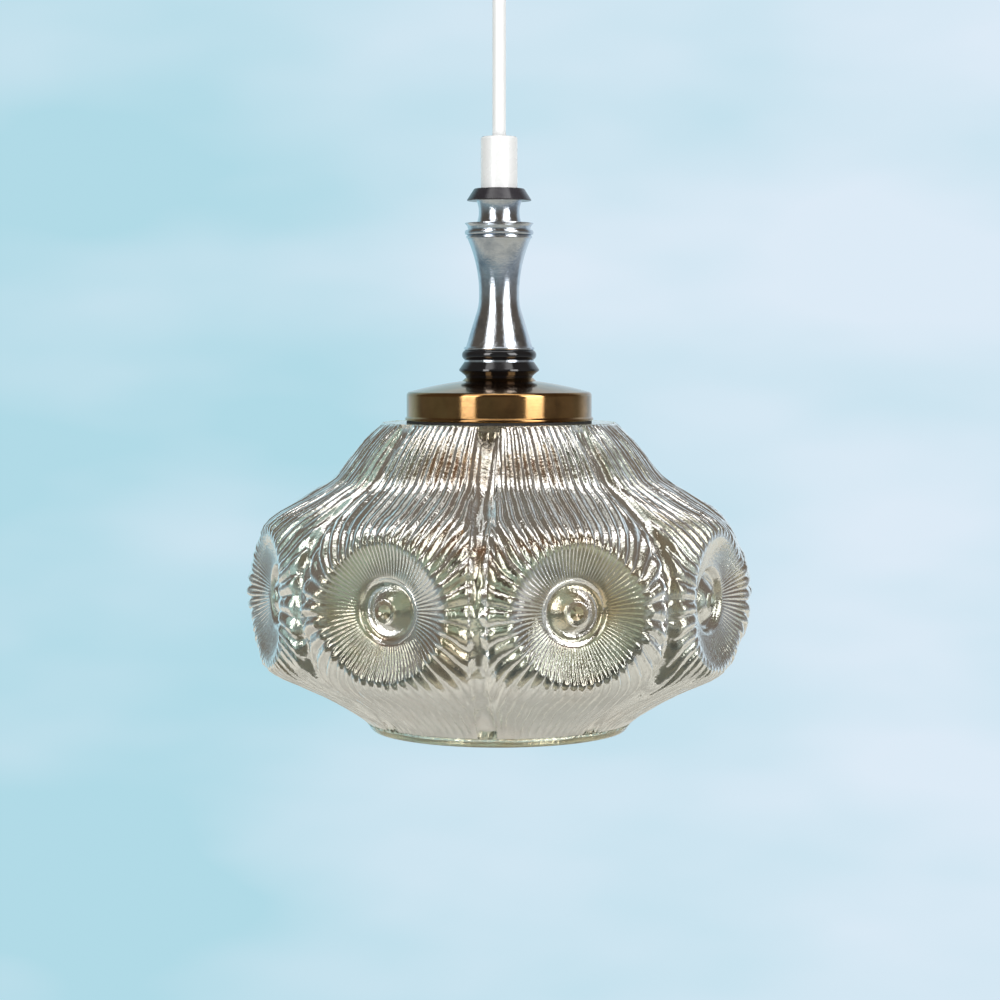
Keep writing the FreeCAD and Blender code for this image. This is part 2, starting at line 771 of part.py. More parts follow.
def shade():
    """The pressed glass: a lobed shell, eight dished eyes and the channels between them."""
    body = doc.addObject("PartDesign::Body", "shade_body")
    wall = dim.shade_wall
    inside = wall * 1.35
    curve = dim.crest_curve
    outer = [
        (dim.shade_hole, dim.shade_top),
        (dim.shade_flat, dim.shade_top),
        (dim.valley_radius, dim.valley_level),
        (dim.brow_radius, dim.brow_level, -(curve + 16)),
        (dim.crest_radius, 0, -curve),
        (dim.jowl_radius, -dim.jowl_level),
        (dim.heel_radius, -dim.heel_level, -9.0),
        (dim.mouth_radius, -dim.mouth_level),
    ]
    inner = [
        (dim.mouth_radius - wall, -dim.mouth_level),
        (dim.heel_radius - wall, wall - dim.heel_level),
        (dim.jowl_radius - wall, wall - dim.jowl_level, curve),
        (dim.crest_radius - inside, 0, curve + 16),
        (dim.brow_radius - wall, dim.brow_level - wall),
        (dim.valley_radius - wall, dim.valley_level - wall),
        (dim.shade_flat - wall, dim.shade_top - wall),
        (dim.shade_hole, dim.shade_top - wall),
    ]
    profile = sketch_on_plane(body, "shade_profile", outer + inner)
    shell = body.newObject("PartDesign::Revolution", "shade_shell")
    shell.Profile = profile
    shell.ReferenceAxis = (profile, ["V_Axis"])
    shell.Angle = 360.0
    doc.recompute()

    boss_sketch = sketch_on_plane(body, "boss_outline", [
        (dim.boss_face, 0), (dim.dish_floor, 0), (dim.dish_floor, dim.boss_radius),
        (dim.dish_floor - 0.4, dim.boss_radius), (dim.boss_face, dim.boss_flat),
    ])
    boss = body.newObject("PartDesign::Revolution", "eye_boss")
    boss.Profile = boss_sketch
    boss.ReferenceAxis = (boss_sketch, ["H_Axis"])
    boss.Angle = 360.0
    pattern(body, boss, profile, "eye_bosses")

    outside = dim.crest_radius + 4
    button = (dim.ring_inside.number ** 2 + dim.button_height.number ** 2) / 2
    dish_sketch = sketch_on_plane(body, "dish_outline", [
        (dim.ring_floor + dim.button_height, 0, -(button / dim.button_height.number)),
        (dim.ring_floor, dim.ring_inside), (dim.ring_floor, dim.ring_outside - 0.6),
        (dim.dish_floor, dim.ring_outside), (dim.dish_edge, dim.dish_radius),
        (outside, dim.dish_radius + 1), (outside, 0),
    ])
    dish = body.newObject("PartDesign::Groove", "eye_dish")
    dish.Profile = dish_sketch
    dish.ReferenceAxis = (dish_sketch, ["H_Axis"])
    dish.Angle = 360.0
    pattern(body, dish, profile, "eye_dishes")

    deep = dim.channel_depth
    channel_sketch = sketch_on_plane(body, "channel_outline", [
        (dim.shade_flat + 1, dim.shade_top - deep - 1),
        (dim.valley_radius - deep, dim.valley_level - deep * 0.4),
        (dim.brow_radius - deep, dim.brow_level - deep, -(curve + 16)),
        (dim.crest_radius - deep, 0, -curve),
        (dim.jowl_radius - deep, deep - dim.jowl_level),
        (dim.heel_radius + 3, deep * 0.5 - dim.heel_level),
        (dim.heel_radius + 12, -dim.heel_level - 8),
        (outside, -dim.heel_level - 8),
        (outside, dim.shade_top),
        (dim.shade_flat + 9, dim.shade_top),
    ])
    channel_sketch.AttachmentOffset = FreeCAD.Placement(
        FreeCAD.Vector(), FreeCAD.Rotation(Y_AXIS, EIGHTH_TURN / 2)
    )
    channel = body.newObject("PartDesign::Pocket", "channel_cut")
    channel.Profile = channel_sketch
    channel.setExpression("Length", dim.channel_width.text)
    channel.Midplane = True
    pattern(body, channel, profile, "channel_cuts")

    place(body, z=eye_level, axis=Z_AXIS, angle=dim.eye_turn.number)
    keep(body, "glass_shade")


def lampholder():
    """The E27 lampholder: cap, body, ceramic insert, screw shell, contact and wiring."""
    radius = dim.holder_radius
    wall = dim.holder_wall
    side = dim.holder_cap_side
    top = dim.holder_cap_height
    turned("holder_cap", holder_cap_bottom, [
        (radius - wall, 0), (radius, 0), (radius, side, 14.0), (radius - 9, top - 1),
        (radius - 10, top), (dim.tube_clearance, top), (dim.tube_clearance, top - 6),
        (radius - wall - 7, top - 6), (radius - wall, side),
    ])
    tall = dim.holder_body_height
    turned("holder_body", holder_body_bottom, [
        (dim.holder_mouth, 0), (dim.holder_lip - 1, 0, 1.0), (dim.holder_lip, 1.0),
        (dim.holder_lip, 5.0), (radius, 6.0), (radius, tall), (radius - wall, tall),
        (radius - wall, 3.0), (dim.holder_mouth, 2.0),
    ])
    turned("holder_insert", insert_bottom, [
        (0, 0), (dim.shell_bore - 1, 0), (dim.shell_bore - 1, 2.5), (dim.insert_radius, 2.5),
        (dim.insert_radius, dim.insert_height), (0, dim.insert_height),
    ])
    shell = turned_body(
        "screw_shell", ring(dim.shell_bore + dim.shell_gauge, dim.shell_bore, dim.shell_height)
    )
    keep(place(shell, z=insert_bottom + 2.5 - dim.shell_height), "screw_shell")
    contact = primitive(
        "Box",
        "contact_leaf",
        Length=dim.contact_length,
        Width=dim.contact_width,
        Height=dim.contact_height,
    )
    place(
        contact,
        x=dim.contact_length * -0.5,
        y=dim.contact_width * -0.5,
        z=contact_bottom,
    )
    keep(contact, "centre_contact")
    screws = []
    for way in (-1, 1):
        name = "terminal_screw"
        screw = primitive("Cylinder", name, Radius=dim.terminal_radius, Height=2.0)
        place(screw, x=dim.terminal_offset * way, z=insert_bottom + dim.insert_height)
        slot = primitive("Box", f"{name}_slot", Length=dim.terminal_radius * 2, Width=0.7, Height=0.8)
        place(
            slot,
            x=dim.terminal_offset * way - dim.terminal_radius,
            y=-0.35,
            z=insert_bottom + dim.insert_height + 1.2,
        )
        screws.append(cut(screw, slot, f"{name}_cut"))
    keep(group(screws, "holder_screw_pair"), "holder_screws")
    wires = []
    insert_top = insert_bottom.number + dim.insert_height.number
    for way in (-1, 1):
        offset = dim.core_offset.number * way
        end = (dim.terminal_offset.number - dim.terminal_radius.number) * way
        points = [
            (offset, 0, tube_bottom.number),
            (offset, 0, tube_bottom.number - 4.0),
            (offset + 5.0 * way, 0, insert_top + 1.15),
            (end, 0, insert_top + 1.15),
        ]
        wires.append(bent_tube(points, dim.core_radius.number))
    coded("holder_wires", Part.makeCompound(wires))


def bulb():
    """An E27 bulb: solder tip, insulator, screw cap, glass, mount and filament."""
    turned("bulb_tip", tip_bottom, [
        (0, 0), (dim.tip_radius, 0), (dim.tip_radius, 0.6), (dim.tip_radius - 1.6, 1.5),
        (dim.tip_radius - 3.4, dim.tip_height), (0, dim.tip_height),
    ])
    turned("bulb_insulator", vitrite_bottom, [
        (0, 0), (dim.vitrite_radius, 0), (dim.tip_radius + 0.6, dim.vitrite_height),
        (0, dim.vitrite_height),
    ])
    gauge = dim.bulb_cap_gauge
    cap = dim.bulb_cap_radius
    turned("bulb_cap", bulb_cap_bottom, [
        (cap - gauge, 0), (cap, 0), (cap, dim.bulb_cap_height - 1.5, 2.4),
        (dim.vitrite_radius, dim.bulb_cap_height), (dim.vitrite_radius - 2, dim.bulb_cap_height),
        (dim.vitrite_radius - 2, dim.bulb_cap_height - gauge),
        (cap - gauge, dim.bulb_cap_height - 2.2),
    ])
    radius = dim.bulb_radius
    wall = dim.bulb_wall
    neck_top = bulb_cap_bottom + 6.0 - bulb_centre
    shoulder = bulb_cap_bottom - bulb_centre - 2.0
    rise = 0.5
    reach = math.sqrt(1 - rise * rise)
    turned("bulb_envelope", bulb_centre, [
        (0, -radius, radius), (radius * reach, radius * rise, -52.0),
        (dim.bulb_neck + 0.2, shoulder), (dim.bulb_neck, neck_top),
        (dim.bulb_neck - wall, neck_top), (dim.bulb_neck + 0.2 - wall, shoulder, 52.0),
        ((radius - wall) * reach, (radius - wall) * rise, -(radius - wall)),
        (0, wall - radius),
    ])
    mount_bottom = bulb_cap_bottom + 4.0 - dim.mount_height
    turned("bulb_mount", mount_bottom, [
        (0, 0), (2.4, 0), (2.4, 4.0), (1.8, 6.0), (dim.mount_radius, 16.0),
        (dim.mount_radius, 26.0, -12.0), (dim.bulb_neck - wall - 1, dim.mount_height - 1),
        (dim.bulb_neck - wall - 1, dim.mount_height), (0, dim.mount_height),
    ])
    level = mount_bottom.number - 5.0
    circle = dim.filament_circle.number
    wire = dim.wire_radius.number
    points = [(0.9, 0, level + 4.7)]
    for number in range(11):
        angle = math.radians(28.0 * number)
        points.append((circle * math.cos(angle), circle * math.sin(angle), level))
    last = math.radians(280.0)
    points.append((0.9 * math.cos(last), 0.9 * math.sin(last), level + 4.7))
    coded("bulb_filament", bent_tube(points, wire))


ceiling_bracket()
canopy()
canopy_screws()
canopy_grip()
clamp_screw("canopy_grip_screw", dim.canopy_grip_radius, -(dim.canopy_depth + 5))
terminal_block()
canopy_lead()
flex()
cord_grip()
clamp_screw("grip_screw", dim.grip_radius, -(dim.grip_top + dim.grip_screw_drop))
stem_stack()
thread_tube()
brass_cap()
glass_clamp()
shade()
lampholder()
bulb()
doc.recompute()

failed = [item.Label for item in doc.Objects if {"Invalid", "Error"} & set(item.State)]
if failed:
    raise RuntimeError(f"these did not build: {failed}")
os.makedirs("parts", exist_ok=True)
for item in sub_parts:
    shape = item.Shape
    if shape.isNull() or not shape.isValid() or not shape.Solids:
        raise RuntimeError(f"{item.Label} has no valid solid")
    shape.exportStep(f"parts/{item.Label}.step")
    box = shape.BoundBox
    print(f"{item.Label}: {len(shape.Solids)} solid(s), {shape.Volume:.0f} mm3,"
          f" z {box.ZMin:.1f} to {box.ZMax:.1f}, x {box.XMin:.1f} to {box.XMax:.1f}")
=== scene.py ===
import json
import math

import bpy
import numpy as np
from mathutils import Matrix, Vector


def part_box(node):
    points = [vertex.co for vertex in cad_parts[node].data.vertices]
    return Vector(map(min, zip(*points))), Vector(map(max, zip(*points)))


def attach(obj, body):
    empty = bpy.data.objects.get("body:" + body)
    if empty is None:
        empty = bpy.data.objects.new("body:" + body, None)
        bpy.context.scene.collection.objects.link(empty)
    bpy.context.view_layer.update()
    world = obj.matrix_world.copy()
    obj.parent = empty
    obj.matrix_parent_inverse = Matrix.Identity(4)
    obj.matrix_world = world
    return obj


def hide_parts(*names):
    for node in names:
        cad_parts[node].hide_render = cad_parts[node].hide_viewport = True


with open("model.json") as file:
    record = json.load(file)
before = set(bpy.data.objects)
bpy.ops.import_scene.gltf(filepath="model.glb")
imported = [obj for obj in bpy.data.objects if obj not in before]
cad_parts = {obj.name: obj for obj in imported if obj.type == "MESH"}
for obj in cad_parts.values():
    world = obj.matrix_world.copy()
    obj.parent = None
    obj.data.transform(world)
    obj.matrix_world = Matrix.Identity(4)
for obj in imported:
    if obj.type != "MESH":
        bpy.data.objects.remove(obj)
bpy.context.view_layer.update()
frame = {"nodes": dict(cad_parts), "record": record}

MM = 0.001
nodes = frame["nodes"]


# ---------------------------------------------------------------- places from the frame

def span(node):
    """A CAD node's lowest and highest corners, as arrays in metres."""
    low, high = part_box(node)
    return np.array(low, float), np.array(high, float)


GLASS_TOP = 81.5  # the glass's flat top over the centres of its eyes, in millimetres
CORD_GAP = 0.2 * MM  # left between the flex and the short bend above it

GRIP_TOP = span("cord_grip")[1][2]
CORD_TOP = span("cord")[1][2] - CORD_GAP
EYE_LEVEL = span("glass_shade")[1][2] - GLASS_TOP * MM


# ---------------------------------------------------------------- camera

CAMERA_DISTANCE = 1.165
CAMERA_ASIDE = 0.4 * MM
CAMERA_LEVEL = span("stem")[0][2] + 1.5 * MM
CAMERA_PITCH = math.radians(3.65)
LENS_MM = 86.4
SENSOR_MM = 36.0


def add_camera():
    """The camera, level with the foot of the stem and looking a little down."""
    data = bpy.data.cameras.new("camera")
    data.lens = LENS_MM
    data.sensor_width = SENSOR_MM
    camera = bpy.data.objects.new("camera", data)
    camera.location = (CAMERA_ASIDE, -CAMERA_DISTANCE, CAMERA_LEVEL)
    camera.rotation_euler = (math.radians(90.0) - CAMERA_PITCH, 0.0, 0.0)
    bpy.context.scene.collection.objects.link(camera)
    bpy.context.scene.camera = camera


# ---------------------------------------------------------------- flex

CORD_DIAMETER = 6.5 * MM
CORD_SHARES = (0.0, 0.35, 0.7, 1.0)  # of the way from the cord grip to the flex's top
CORD_SIDES = 48
CURVE_STEPS = 12
CURVE_ORDER = 3
DOME_RINGS = 10
DOME_END = math.radians(80.0)


def spline_line(points):
    """The points of a smooth curve from the first control point to the last."""
    route = bpy.data.curves.new("route", "CURVE")
    route.dimensions = "3D"
    route.resolution_u = CURVE_STEPS
    spline = route.splines.new("NURBS")
    spline.points.add(len(points) - 1)
    for point, place in zip(spline.points, points):
        point.co = (*place, 1.0)
    spline.order_u = CURVE_ORDER
    spline.use_endpoint_u = True
    guide = bpy.data.objects.new("route", route)
    bare = bpy.data.meshes.new_from_object(guide)
    line = [tuple(vertex.co) for vertex in bare.vertices]
    bpy.data.meshes.remove(bare)
    bpy.data.objects.remove(guide)
    bpy.data.curves.remove(route)
    return line


def add_cord(name, line, diameter):
    """A hanging flex as a capped tube of level rings round its upright line. Its top end is
    round, so that it turns under the piece of flex above it without cutting into it."""
    half = diameter / 2
    pivot = line[-1][2] - half
    rings = [(place, half) for place in line if place[2] < pivot]
    for step in range(DOME_RINGS + 1):
        rise = DOME_END * step / DOME_RINGS
        rings.append(((0.0, 0.0, pivot + half * math.sin(rise)), half * math.cos(rise)))
    corners = []
    for (x, y, z), radius in rings:
        for side in range(CORD_SIDES):
            angle = side / CORD_SIDES * 2 * math.pi
            corners.append((x + radius * math.cos(angle), y + radius * math.sin(angle), z))
    faces = []
    for first in range(0, len(corners) - CORD_SIDES, CORD_SIDES):
        for side in range(CORD_SIDES):
            a = first + side
            b = first + (side + 1) % CORD_SIDES
            faces.append((a, b, b + CORD_SIDES, a + CORD_SIDES))
    bottom_end = tuple(range(CORD_SIDES))[::-1]
    top_end = tuple(range(len(corners) - CORD_SIDES, len(corners)))
    mesh = bpy.data.meshes.new(name)
    mesh.from_pydata(corners, [], faces + [bottom_end, top_end])
    mesh.polygons.foreach_set("use_smooth", [True] * len(faces) + [False] * 2)
    mesh.update()
    flex = bpy.data.objects.new(name, mesh)
    bpy.context.scene.collection.objects.link(flex)
    return flex


add_camera()
cord_points = [
    (0.0, 0.0, GRIP_TOP + share * (CORD_TOP - GRIP_TOP)) for share in CORD_SHARES
]
cord_line = spline_line(cord_points)
cord = add_cord("flex", cord_line, CORD_DIAMETER)
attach(cord, "pendant")
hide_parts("cord")


# ---------------------------------------------------------------- materials

class Shader:
    """A node material with short calls for adding nodes and links."""

    def __init__(self, name):
        self.material = bpy.data.materials.new(name)
        self.material.use_nodes = True
        self.tree = self.material.node_tree
        self.surface = self.tree.nodes["Principled BSDF"]
        self.place = self.node("ShaderNodeTexCoord").outputs["Object"]

    def node(self, kind, inputs=None, **settings):
        """A new node with its settings, and its inputs linked or set."""
        made = self.tree.nodes.new(kind)
        for key, value in settings.items():
            setattr(made, key, value)
        for key, value in (inputs or {}).items():
            if isinstance(value, bpy.types.NodeSocket):
                self.tree.links.new(value, made.inputs[key])
            else:
                made.inputs[key].default_value = value
        return made

    def set(self, **values):
        """Sets or links the surface's sockets, named with underscores for spaces."""
        for key, value in values.items():
            socket = self.surface.inputs[key.replace("_", " ")]
            if isinstance(value, bpy.types.NodeSocket):
                self.tree.links.new(value, socket)
            else:
                socket.default_value = value
        return self

    def stretched(self, scale):
        """Object coordinates stretched along each axis."""
        return self.node(
            "ShaderNodeMapping", {"Vector": self.place, "Scale": scale}
        ).outputs["Vector"]

    def noise(self, scale, detail=4.0, roughness=0.55, vector=None):
        """A noise's grey value, on object coordinates unless others are given."""
        made = self.node(
            "ShaderNodeTexNoise",
            {
                "Vector": vector or self.place,
                "Scale": scale,
                "Detail": detail,
                "Roughness": roughness,
            },
        )
        return made.outputs["Fac"]

    def ramp(self, factor, stops):
        """A colour or grey ramp from (position, colour) stops."""
        made = self.node("ShaderNodeValToRGB", {"Fac": factor})
        elements = made.color_ramp.elements
        while len(elements) < len(stops):
            elements.new(0.5)
        for element, (position, colour) in zip(elements, stops):
            element.position = position
            shade = colour if isinstance(colour, tuple) else (colour, colour, colour)
            element.color = (*shade, 1.0)
        return made.outputs["Color"]

    def bump(self, height, strength, distance, normal=None):
        """A normal that follows the height, on top of an earlier bump if there is one."""
        inputs = {"Height": height, "Strength": strength, "Distance": distance}
        if normal is not None:
            inputs["Normal"] = normal
        return self.node("ShaderNodeBump", inputs).outputs["Normal"]


def around_axis(shader, ring_scale, along_scale):
    """Coordinates that change fast along Z and across the radius but not around the axis,
    so that noise on them gives the fine rings of a turned or spun surface."""
    def maths(operation, first, second):
        made = shader.node("ShaderNodeMath", {0: first, 1: second}, operation=operation)
        return made.outputs[0]

    x, y, z = shader.node("ShaderNodeSeparateXYZ", {"Vector": shader.place}).outputs
    total = maths("ADD", maths("MULTIPLY", x, x), maths("MULTIPLY", y, y))
    radius = maths("POWER", total, 0.5)
    rings = {"X": maths("MULTIPLY", radius, ring_scale), "Z": maths("MULTIPLY", z, along_scale)}
    return shader.node("ShaderNodeCombineXYZ", rings).outputs["Vector"]


def lustre_glass():
    """Pressed glass with a champagne lustre and a slightly rippled skin."""
    shader = Shader("lustre_glass")
    tint = shader.ramp(
        shader.noise(scale=26.0, detail=5.0),
        [(0.34, (0.98, 0.80, 0.54)), (0.5, (0.94, 0.92, 0.76)), (0.68, (0.90, 0.95, 0.82))],
    )
    ripple = shader.bump(shader.noise(scale=260.0, detail=3.0), strength=0.45, distance=0.0005)
    speckle = shader.bump(
        shader.noise(scale=900.0, detail=2.0), strength=0.45, distance=0.0003, normal=ripple
    )
    shader.set(
        Base_Color=tint,
        Metallic=0.15,
        Roughness=0.02,
        IOR=1.5,
        Transmission_Weight=0.97,
        Normal=speckle,
    )
    absorb = shader.node(
        "ShaderNodeVolumeAbsorption", {"Color": (0.86, 0.80, 0.56, 1.0), "Density": 16.0}
    )
    output = shader.tree.nodes["Material Output"]
    shader.tree.links.new(absorb.outputs["Volume"], output.inputs["Volume"])
    return shader.material


def clear_glass():
    """The thin clear glass of the bulb."""
    shader = Shader("clear_glass")
    waves = shader.bump(shader.noise(scale=60.0, detail=2.0), strength=0.1, distance=0.0003)
    shader.set(
        Base_Color=(0.97, 0.985, 0.98, 1.0),
        Roughness=0.01,
        IOR=1.5,
        Transmission_Weight=1.0,
        Normal=waves,
    )
    return shader.material


def polished_nickel():
    """Nickel plate with fine turning marks, dull patches and pits."""
    shader = Shader("polished_nickel")
    turned = around_axis(shader, ring_scale=900.0, along_scale=2600.0)
    rings = shader.noise(scale=1.0, detail=3.0, vector=turned)
    wear = shader.noise(scale=170.0, detail=6.0, roughness=0.7)
    pits = shader.noise(scale=900.0, roughness=0.7)
    roughness = shader.ramp(wear, [(0.35, 0.05), (0.58, 0.14), (0.75, 0.34)])
    colour = shader.ramp(
        shader.noise(scale=60.0, detail=5.0, roughness=0.65),
        [(0.3, (0.34, 0.39, 0.46)), (0.5, (0.64, 0.68, 0.73)), (0.75, (0.54, 0.55, 0.56))],
    )
    marks = shader.bump(rings, strength=0.16, distance=0.0002)
    pitted = shader.bump(pits, strength=0.30, distance=0.0003, normal=marks)
    shader.set(Base_Color=colour, Metallic=1.0, Roughness=roughness, Normal=pitted)
    return shader.material


def lacquered_brass():
    """Spun brass: fine circumferential brushing under a clear lacquer."""
    shader = Shader("lacquered_brass")
    brushed = around_axis(shader, ring_scale=1500.0, along_scale=3000.0)
    rings = shader.noise(scale=1.0, roughness=0.7, vector=brushed)
    tarnish = shader.noise(scale=45.0, detail=5.0, roughness=0.6)
    colour = shader.ramp(
        tarnish,
        [
            (0.32, (0.15, 0.085, 0.034)),
            (0.52, (0.34, 0.19, 0.072)),
            (0.75, (0.45, 0.27, 0.105)),
        ],
    )
    roughness = shader.ramp(rings, [(0.3, 0.09), (0.7, 0.16)])
    around = shader.node("ShaderNodeTangent", direction_type="RADIAL", axis="Z")
    shader.set(
        Base_Color=colour,
        Metallic=1.0,
        Roughness=roughness,
        Anisotropic=0.7,
        Anisotropic_Rotation=0.25,
        Tangent=around.outputs[0],
        Coat_Weight=0.12,
        Coat_Roughness=0.06,
        Normal=shader.bump(rings, strength=0.12, distance=0.00012),
    )
    return shader.material


def moulded(name, colour, roughness, mottling=0.04, grain=500.0, depth=0.00008):
    """A moulded plastic, rubber or ceramic: mottled colour and a fine grain."""
    shader = Shader(name)
    low = tuple(max(0.0, channel * (1 - mottling)) for channel in colour)
    high = tuple(min(1.0, channel * (1 + mottling)) for channel in colour)
    shader.set(
        Base_Color=shader.ramp(shader.noise(scale=35.0), [(0.3, low), (0.7, high)]),
        Roughness=shader.ramp(
            shader.noise(scale=120.0), [(0.3, roughness * 0.8), (0.7, roughness * 1.2)]
        ),
        Normal=shader.bump(shader.noise(scale=grain, detail=3.0), strength=0.4, distance=depth),
    )
    return shader.material


def plated(name, colour, roughness):
    """Plated or bare metal with a streaky, slightly uneven finish."""
    shader = Shader(name)
    low = tuple(channel * 0.86 for channel in colour)
    streaks = shader.noise(scale=1.0, vector=shader.stretched((300.0, 300.0, 1500.0)))
    shader.set(
        Base_Color=shader.ramp(
            shader.noise(scale=90.0, detail=5.0), [(0.3, low), (0.7, colour)]
        ),
        Metallic=1.0,
        Roughness=shader.ramp(streaks, [(0.3, roughness * 0.75), (0.7, roughness * 1.3)]),
        Normal=shader.bump(streaks, strength=0.12, distance=0.0001),
    )
    return shader.material


MATERIALS = {
    "lustre_glass": lustre_glass(),
    "clear_glass": clear_glass(),
    "polished_nickel": polished_nickel(),
    "lacquered_brass": lacquered_brass(),
    "white_flex": moulded("white_flex", (0.87, 0.88, 0.88), 0.34, 0.02, 300.0),
    "white_plastic": moulded("white_plastic", (0.84, 0.85, 0.85), 0.28, 0.015),
    "white_nylon": moulded("white_nylon", (0.80, 0.80, 0.77), 0.45),
    "block_plastic": moulded("block_plastic", (0.74, 0.72, 0.66), 0.42),
    "porcelain": moulded("porcelain", (0.80, 0.78, 0.73), 0.14, 0.03, 60.0),
    "bakelite": moulded("bakelite", (0.030, 0.018, 0.014), 0.22, 0.5, 200.0),
    "black_gloss": moulded("black_gloss", (0.008, 0.008, 0.009), 0.10, 0.3, 240.0, 0.00004),
    "dark_plate": moulded("dark_plate", (0.030, 0.028, 0.034), 0.20, 0.5, 700.0),
    "black_rubber": moulded("black_rubber", (0.020, 0.019, 0.018), 0.70, 0.3, 800.0),
    "core_sleeve": moulded("core_sleeve", (0.115, 0.045, 0.022), 0.42, 0.15),
    "vitrite": moulded("vitrite", (0.010, 0.010, 0.016), 0.08, 0.3, 100.0),
    "zinc_steel": plated("zinc_steel", (0.56, 0.57, 0.56), 0.34),
    "screw_steel": plated("screw_steel", (0.66, 0.66, 0.65), 0.26),
    "brass_hardware": plated("brass_hardware", (0.72, 0.52, 0.23), 0.24),
    "solder": plated("solder", (0.50, 0.50, 0.51), 0.45),
    "bulb_nickel": plated("bulb_nickel", (0.74, 0.74, 0.73), 0.22),
    "tungsten": plated("tungsten", (0.22, 0.22, 0.23), 0.45),
}
slots = {part["node"]: part["material_slot"] for part in frame["record"]["subparts"]}


def paint(piece, slot):
    """Gives a piece one material, in place of any it had."""
    piece.data.materials.clear()
    piece.data.materials.append(MATERIALS[slot])


for name, piece in nodes.items():
    paint(piece, slots[name])
paint(cord, "white_flex")


# ---------------------------------------------------------------- pressed glass shade

PANELS = 8
PANEL_STEP = 2 * math.pi / PANELS
FIRST_EYE = math.radians(17.9)
EYE_RADIUS = 120.6

# Rows of (radius, height above the eyes) in millimetres: the shade's side from the top down,
# the smooth heel under it, the mouth's inner edge, and the flat top with the hole for the stem.
SIDE = [
    (56.5, GLASS_TOP), (61.5, 76.8), (68.0, 69.8), (74.2, 61.6), (80.2, 54.0), (88.0, 49.2),
    (97.6, 42.4), (106.2, 35.4), (113.2, 26.4), (118.4, 15.0), (120.6, 2.0), (119.6, -12.0),
    (115.2, -25.0), (107.6, -35.4), (95.0, -43.8), (80.6, -52.0), (71.0, -58.4), (65.2, -63.2),
]
HEEL = [(63.9, -64.9), (63.1, -66.4), (62.3, -67.3), (61.2, -67.6)]
MOUTH = [(59.4, -67.2), (58.2, -65.2)]
FLAT_TOP = [
    (46.0, 76.6), (31.5, 76.6), (30.2, 77.6), (30.2, 80.6), (31.2, GLASS_TOP),
    (46.0, GLASS_TOP), (55.0, GLASS_TOP),
]

# An eye's dish, as (distance from its centre, radius from the lamp's axis) in millimetres.
DISH = np.array([
    (0.0, 112.6), (3.2, 112.2), (6.2, 111.0), (8.8, 109.2), (10.4, 107.9), (11.3, 107.1),
    (12.2, 106.9), (13.4, 107.2), (14.2, 108.3), (15.0, 110.0), (16.2, 110.5), (18.0, 110.7),
    (20.2, 111.2), (22.6, 111.9), (25.0, 112.7), (27.4, 113.6), (29.4, 114.4), (31.2, 115.1),
    (32.8, 115.6), (34.6, 115.9), (40.0, 115.0),
])
DISH_BLEND = (27.0, 35.5)  # distances over which the dish turns into the side
DISH_NARROWING = 0.985

# Ribs. A spoke runs from the eye to the panel's outline, and FLOW_WIDTH sets how soon it bends
# upright. Heights are shares of the width that a coarse rib has at that place, and pairs are
# distances from the eye, in millimetres, over which ribs come in or fade.
FINE_RIBS = 84
SPOKES = FINE_RIBS * 4
CORE_SPOKES = FINE_RIBS
FLOW_WIDTH = PANEL_STEP * 1.42
FLOW_REACH = 9.0
FLOW_STEPS = 600
FINE_HEIGHT = 0.17
FINE_START = (15.5, 18.0)
FINE_END = (29.5, 35.0)
COARSE_HEIGHT = 0.30
COARSE_START = (27.5, 34.0)
UNEVEN_HEIGHT = 0.07
WANDER = 0.10

# Relief, in millimetres: the crest round each dish, the lobes over and under it, the flanks
# that drop to the channels between the panels, and how far from the top and the bottom all of
# it fades. The crest and the lobes are humps: a size, a place and a width.
GROUND = 0.7
CREST = (0.7, 34.0, 4.5)
LOBE = 4.6
UPPER_LOBE = (1.0, 32.0, 9.5)
LOWER_LOBE = (0.85, -31.0, 9.0)
FLANK = 3.4
FLANK_DROP = 0.9
SETTLE_BOTTOM = 15.0
SETTLE_TOP = 2.5
CHANNEL_HALF = 4.6
CHANNEL_DEPTH = 3.0
CHANNEL_RIPPLE = 0.17
RUN_OUT_BOTTOM = 26.0
RUN_OUT_TOP = 9.0
ROUGH_NEAR = 0.012
ROUGH_FAR = 0.05

# Rows of the mesh: distances from an eye's centre, then gaps in from the panel's outline.
CORE_ROWS = [3.2, 6.2, 8.8, 10.4, 11.3, 12.2, 13.4, 14.2, 15.0]
DISH_ROWS = [16.2, 18.0, 20.2, 22.6, 25.0, 27.4, 29.4, 31.2, 32.8, 34.6]
OUTER_ROWS = 13
OUTER_SPACING = 1.25
EDGE_GAPS = (3.2, 1.6, 0.0)
CHANNEL_SHARES = (0.1, 0.22, 0.34, 0.44, 0.5, 0.56, 0.66, 0.78, 0.9)

# The inner surface, in millimetres.
WALL = 4.6
EYE_BULGE = 12.6
EYE_BULGE_REACH = 25.0
SEAM_RIDGE = 3.0
SEAM_RIDGE_WIDTH = 8.5
INNER_COLUMNS = 16 * PANELS
INNER_ROWS = 34
INNER_TURN = 0.001  # keeps the inner columns off the outer ones' angles


def smooth_step(low, high, value):
    """Eases from 0 at low to 1 at high."""
    t = np.clip((value - low) / (high - low), 0.0, 1.0)
    return t * t * (3 - 2 * t)


def catmull(points, per_span):
    """A smooth curve through the points."""
    points = np.array(points, float)
    padded = np.vstack([2 * points[0] - points[1], points, 2 * points[-1] - points[-2]])
    curve = []
    for a, b, c, d in zip(padded, padded[1:], padded[2:], padded[3:]):
        for t in np.linspace(0, 1, per_span, endpoint=False):
            curve.append(
                0.5 * (2 * b + (c - a) * t + (2 * a - 5 * b + 4 * c - d) * t * t
                       + (3 * b - a - 3 * c + d) * t ** 3)
            )
    curve.append(points[-1])
    return np.array(curve)


